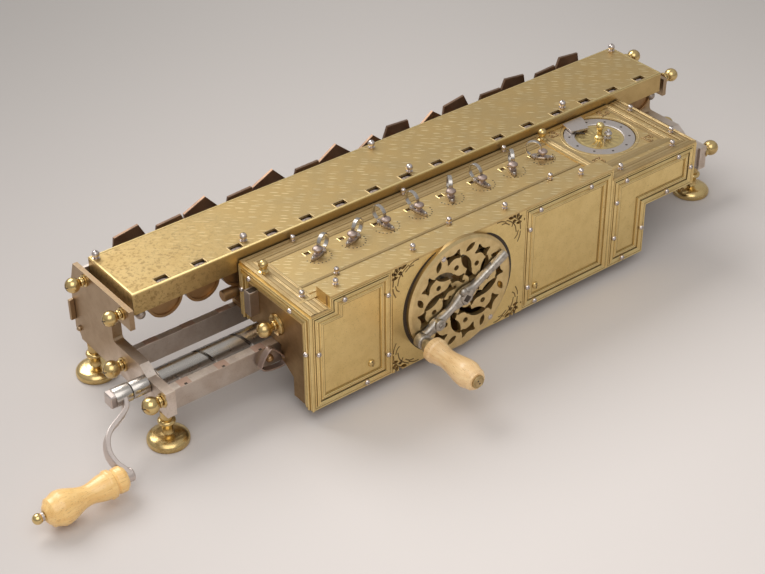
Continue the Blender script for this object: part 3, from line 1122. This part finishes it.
def addDiscTrim():
    d = discTrim
    curls = []
    for sx, sz in ((-1, -1), (-1, 1), (1, -1), (1, 1)):
        for rib in d["ribs"]:
            flat = smoothPath(rib, 16)
            path = np.stack([d["x"] + sx * (d["corner"][0] + flat[:, 0]), 0 * flat[:, 0] + d["face"] - 0.02,
                             d["z"] + sz * (d["corner"][1] - 3 + flat[:, 1])], -1)
            curls.append(swept(path, barSection(d["rib"], 0.2, 0.04), toRear))
    inner, outer = d["radius"] - 0.6, d["radius"] + 0.12
    rim = turned([(inner, 0), (outer, 0), (outer, d["side"]), (inner, d["side"]), (inner, 0)], 96)
    rim = aimed(rim, (d["x"], d["face"], d["z"]), toFront)
    gaps = [crescent(*arc) for arc in d["arcs"]]
    piece("disc_trim", [(gaps, engraved), (curls, carvedBrass), ([rim], lineBrass)], "carriage")


addMultiplierDial()
addScrolls()
addDiscTrim()
print("multiplier dressed")

# Rail inlays, the steel bracket, the strap hook, the rod's stub, finials and the small pieces of the end plates
railInlay = {"first": -318.0, "pitch": 40.0, "count": 17, "y": -53.75, "top": 62.0, "wide": 12.0, "deep": 9.7,
             "rear": (13.2, 20.3), "rearFrom": 2, "rearTo": 16}
bracket = {"low": (-229.1, -31.2, 78.9), "high": (-218.8, -21.8, 104.9), "wall": 1.4, "dark": (103.4, 104.2)}
strap = {"y": -65.0, "wide": 7.0, "path": [(-244, 50), (-240, 57.5), (-234.6, 64), (-231, 64.8), (-227, 61),
                                           (-220.5, 53), (-217, 47), (-217.6, 43), (-222, 41.6), (-232, 42.4),
                                           (-240.5, 44.6), (-244.2, 48.6)]}
rod = {"y": 7.5, "z": 83.5, "from": -218.0, "to": -234.6, "radius": 5.7}
finials = {"places": [(-211.4, -29.7), (147.0, -12.0)],
           "neck": [(0, -0.3), (5, -0.3), (5.2, 0.4), (5, 1.6), (3.2, 2.4), (2.6, 3.4)]}
plateStrip = {"low": (-346.5, 96.4, 56.0), "high": (-340.8, 99.8, 79.0), "stud": (-340.8, 91.5, 48.0)}
cornerBalls = {"places": [(-322.5, 4.6, 105.0), (322.5, 4.6, 105.0)], "radius": 4.8}


def addFittings():
    i = railInlay
    plates, slots = [], []
    under, face, side = i["top"] - 0.4, i["top"] + 0.16, i["wide"] / 2
    for n in range(i["count"]):
        x, y = i["first"] + i["pitch"] * n, i["y"]
        plates.append(slab((x - side, y - i["deep"] / 2, under), (x + side, y + i["deep"] / 2, face), 0.12))
        slots.append(slab((x - 1.5, y - 5.0, i["top"] - 0.2), (x + 1.5, y - 2.6, i["top"] + 0.22), 0.08))
        plates.append(slab((x + i["rearFrom"], i["rear"][0], under), (x + i["rearTo"], i["rear"][1], face),
                           0.12))
    piece("rail_inlays", [(plates, copper), (slots, engraved)], "frame")
    low, high, wall = bracket["low"], bracket["high"], bracket["wall"]
    walls = [slab(low, (low[0] + wall, high[1], high[2]), 0.3)]
    for front, back in ((low[1] - 0.05, low[1] + wall), (high[1] - wall, high[1] + 0.05)):
        walls.append(slab((low[0] + 0.1, front, low[2] + 0.1), (high[0], back, high[2] - 0.1), 0.3))
    floor, roof = bracket["dark"]
    dark = slab((low[0] + wall, low[1] + wall, floor), (high[0], high[1] - wall, roof), 0.1)
    loop = smoothPath([(x, strap["y"], z) for x, z in strap["path"]], 70)
    hook = swept(loop, barSection(1.6, strap["wide"], 0.3), toRear)
    bolt = aimed(roundHead(4.0, 4.0), (-231, strap["y"] + 3.5, 51), toFront)
    r, long = rod["radius"], rod["from"] - rod["to"]
    stub = along([(0, 0), (r, 0), (r, long - 1), (r - 1, long), (0, long)], rod["from"], 28,
                 (rod["y"], rod["z"]))
    groups = [(walls, dialSteel), ([hook], knobSteel), ([bolt, stub], wheelBronze), ([dark], engraved)]
    piece("case_fittings", groups, "carriage")
    knob = turned(np.concatenate([finials["neck"], beadArc(4.6, 8.3, -1.05, 16)]), 32)
    knobs = [aimed(knob, (x, y, case["top"])) for x, y in finials["places"]]
    piece("gold_finials", [(knobs, turnedBrass)], "carriage")
    ball = turned(beadArc(cornerBalls["radius"], 0, -np.pi / 2, 16), 24)
    balls = [aimed(ball, place) for place in cornerBalls["places"]]
    strip = slab(plateStrip["low"], plateStrip["high"], 0.6)
    stud = aimed(roundHead(2.8, 4.0), plateStrip["stud"], toLeft)
    piece("corner_ball", [(balls, dialSteel), ([strip, stud], frameSteel)], "frame")


addFittings()
print("fittings added")

# Forged main crank with two arms, hub, hinge, boss and capped pin, in place of its solid
mainCrank = {
    "x": -50.0, "z": 73.5, "angle": 208.0, "throw": 58.0, "back": -119.4, "gearRadius": 13.7, "teeth": 20,
    "gearBack": -85.5, "hinge": (36, 0, 0), "beadAt": (-0.6, -9.4, 0),
    "stations": [(-58, 4.4, 5.6), (-54, 4.8, 6.2), (-40, 4.3, 6.2), (-20, 3.9, 6.0), (-13, 4.4, 6.4),
                 (-6, 7.4, 7.0), (0, 8.4, 7.2), (6, 7.2, 7.0), (13, 4.8, 6.4), (18, 3.9, 6.0), (27, 4.4, 6.2),
                 (33, 5.8, 6.8), (38, 6.6, 7.2), (43, 5.6, 6.6), (48, 4.8, 6.0), (58, 5.4, 6.0)],
    "knuckle": [(0, 1), (5.6, 1), (6.2, 1.6), (6.2, 7.4), (5.4, 8.2), (0, 8.4)],
    "pivot": [(0, 8), (2.3, 8), (2.3, 8.8), (1.9, 9.2), (0, 9.3)],
    "boss": [(0, 0), (7.2, 0), (7.5, 0.4), (7.5, 7.4), (7.0, 8.2), (5.6, 8.8), (5.6, 10.8), (7.8, 12.4),
             (8.6, 15), (9, 16.4), (9, 20.2), (0, 20.2)],
    "cap": [(0, 82.4), (6.6, 82.4), (6.6, 84.2), (6.1, 84.7), (5.3, 84.8), (5.0, 84.4), (4.6, 84.4),
            (4.3, 84.8), (0, 84.9)],
    "dot": [(0, 84.4), (0.9, 84.4), (0.9, 84.95), (0, 84.96)]}


def crankBar():  # half rounds whose width and height change along the arm
    u, wide, tall = np.array(mainCrank["stations"]).T
    fine = np.linspace(u[0], u[-1], 70)
    a = np.linspace(0, np.pi, 13)
    across = np.sign(np.cos(a)) * np.abs(np.cos(a)) ** 0.7
    up = np.sin(a) ** 0.6
    rows = np.stack([np.broadcast_to(fine[:, None], (70, 13)), np.interp(fine, u, wide)[:, None] * across[None],
                     np.interp(fine, u, tall)[:, None] * up[None]], -1)
    return capped(rows)


def addMainCrank():
    m = mainCrank
    hub = stacked(barSection(12.5, 12.5, 2.6), [(1.04, 4.0), (1.0, 6.6), (0.9, 8.0)])
    socket = spun(stacked(barSection(6.6, 6.6, 0.3), [(1, 7.5), (1, 8.06)]), 20)
    bead = turned(np.concatenate([[(0, 3), (2.2, 3)], beadArc(3.9, 6.2, -1.2, 12)]), 24)
    slot = slab((-1.9, -0.3, 9.1), (1.9, 0.3, 9.36), 0.05)
    shaft = turned(plainPin(4, -37.7, 6), 28)
    gearFace = m["back"] - m["gearBack"]
    gear = toothed(m["teeth"], m["gearRadius"], 2.6, gearFace, gearFace + 3.4)
    hinge, throw = m["hinge"], (m["throw"], 0, 0)

    def seat(part, move=(0, 0, 0)):
        points, rows = part
        moved = points + np.asarray(move, float), rows
        return aimed(spun(moved, m["angle"]), (m["x"], m["back"], m["z"]), toFront)

    steel = [seat(part) for part in (crankBar(), hub, shaft, gear)]
    steel += [seat(bead, m["beadAt"]), seat(turned(m["knuckle"], 28), hinge),
              seat(turned(m["pivot"], 20), hinge), seat(turned(m["boss"], 40), throw),
              seat(turned(plainPin(3.5, 20, 83), 20), throw)]
    dots = [seat(turned(m["dot"], 12), (m["throw"], y, 0)) for y in (1.9, -1.9)]
    dark = [seat(socket), seat(slot, hinge)] + dots
    cap = seat(turned(m["cap"], 36), throw)
    piece("forged_main_crank", [(steel, forgedSteel), ([cap], borderBrass), (dark, engraved)], "main_crank",
          stands="main_crank")


# Carry pentagons with cut edges, turned as they stand in the picture, in place of their solids
pentagons = {"first": -277.0, "pitch": 40.0, "z": 111.0, "radius": 23.0, "from": 86.0, "step": 9.0,
             "thick": 3.0, "arbor": 77.4, "turns": [63, 58, 5, 57, 7, 55, 13, 13, 50, 17, 63, 52, 47, 57, 48]}


def addPentagons():
    p = pentagons
    a = np.radians(np.arange(5) * 72.0)
    corners = p["radius"] * np.stack([np.cos(a), np.sin(a)], -1)
    plate = stacked(corners, [(0.98, 0), (1, 0.35), (1, p["thick"] - 0.35), (0.98, p["thick"])])
    for k, turn in enumerate(p["turns"]):
        front = p["from"] + p["step"] * ((k + 1) % 2)
        long = front - p["arbor"]
        hub = turned([(0, 0), (2.5, 0), (2.5, 3.9), (4.5, 4), (4.5, long), (2.5, long + 0.1), (2.5, long + 4.4),
                      (0, long + 4.5)], 20)
        x = p["first"] + p["pitch"] * k
        parts = [aimed(spun(plate, -turn), (x, front, p["z"]), toRear),
                 aimed(hub, (x, p["arbor"], p["z"]), toRear)]
        body = f"carry_pentagon_{k + 1}"
        piece(f"bevelled_pentagon_{k + 1}", [(parts, pentagonBronze)], body, stands=body)


# Steel skin of the dial's stop tab, and its dark finger
stopTab = {"corners": [(-16, 38.6), (9.5, 38.6), (9, 34), (0, 16.5), (-19, 21.5)], "low": 120.9, "high": 123.4,
           "finger": [(-17.5, 22.5), (-9.2, 11.4)]}


def addStopTab():
    corners = np.array(stopTab["corners"])
    middle = corners.mean(0)
    levels = [(1, stopTab["low"]), (1, stopTab["high"] - 0.3), (0.98, stopTab["high"])]
    plate = stacked((corners - middle) * 1.01, levels)
    tab = (plate[0] + (multiplier["x"] + middle[0], multiplier["y"] + middle[1], 0), plate[1])
    ends = [(multiplier["x"] + x, multiplier["y"] + y, stopTab["low"] + 0.7) for x, y in stopTab["finger"]]
    finger = swept(np.array(ends), barSection(1.3, 0.9, 0.2), toTop)
    piece("stop_tab", [([tab], ringSteel), ([finger], engraved)], "carriage")


addMainCrank()
addPentagons()
addStopTab()
print("crank and pentagons made")

# Floor and light
stageLight = {"zenith": 0.57, "horizon": 0.39, "tint": (0.985, 0.98, 0.98),
              "key": 40, "keyPlace": (-0.35, 1.7, 1.95), "keySize": 1.6,
              "fill": 22, "fillPlace": (-0.9, -1.2, 2.0), "fillSize": 2.0}
floorPaper = {"size": 14.0, "near": (0.74, 0.68, 0.64), "far": (0.43, 0.40, 0.375), "depth": (1.0, 2.3),
              "left": 0.64, "leftBand": (-0.75, 0.1), "right": 0.95, "rightBand": (0.15, 0.7), "grain": 0.03}


def addFloor():
    p = floorPaper
    right, up, back = cameraAxes(view["azimuth"], view["elevation"], 0)
    size = p["size"]
    mesh = bpy.data.meshes.new("floor")
    mesh.from_pydata([(-size, -size, 0), (size, -size, 0), (size, size, 0), (-size, size, 0)], [],
                     [(0, 1, 2, 3)])
    floor = link(bpy.data.objects.new("floor", mesh))
    made, w, shader, place = newMaterial("floor paper")
    ahead = -back[:2] / np.linalg.norm(back[:2])
    start = float(np.dot(toFrame(view["place"])[:2], ahead))
    away = w.math("SUBTRACT", w.vector("DOT_PRODUCT", place, (*ahead, 0)), start)
    across = w.vector("DOT_PRODUCT", place, (*right,))

    def scaled(colour, share):
        return w.add("ShaderNodeVectorMath", {"operation": "SCALE"}, i0=colour, Scale=share).outputs[0]

    colour = w.mix(w.ramp(away, *p["depth"]), rgba(p["near"]), rgba(p["far"]))
    colour = w.mix(w.ramp(across, *p["leftBand"]), scaled(colour, p["left"]), colour)
    colour = w.mix(w.ramp(across, *p["rightBand"]), colour, scaled(colour, p["right"]))
    grainy = w.math("MULTIPLY", w.noise(place, 300.0, 2.0, 0.5), p["grain"])
    w.feed(shader.inputs["Base Color"], w.mix(grainy, colour, (0.5, 0.5, 0.5, 1)))
    shader.inputs["Roughness"].default_value = 0.9
    shader.inputs["Specular IOR Level"].default_value = 0.1
    mesh.materials.append(made)


def addLamp(name, power, place, size, target=(0, 0, 0.05)):
    data = bpy.data.lights.new(name, "AREA")
    data.energy = power
    data.size = size
    lamp = bpy.data.objects.new(name, data)
    lamp.location = place
    lamp.rotation_euler = (Vector(target) - Vector(place)).to_track_quat("-Z", "Y").to_euler()
    link(lamp)


def addLight():
    world = bpy.data.worlds.new("studio")
    bpy.context.scene.world = world
    world.use_nodes = True
    w = Wires(world.node_tree)
    up = w.add("ShaderNodeSeparateXYZ", None, i0=w.add("ShaderNodeTexCoord").outputs["Generated"]).outputs[2]
    low, high = (tuple(stageLight[k] * c for c in stageLight["tint"]) for k in ("horizon", "zenith"))
    background = world.node_tree.nodes["Background"]
    w.feed(background.inputs[0], w.mix(w.ramp(up, 0.0, 1.0), rgba(low), rgba(high)))
    addLamp("key", stageLight["key"], stageLight["keyPlace"], stageLight["keySize"])
    addLamp("fill", stageLight["fill"], stageLight["fillPlace"], stageLight["fillSize"])
    bpy.context.scene.view_settings.view_transform = "Standard"


addFloor()
addLight()
print("stage set")
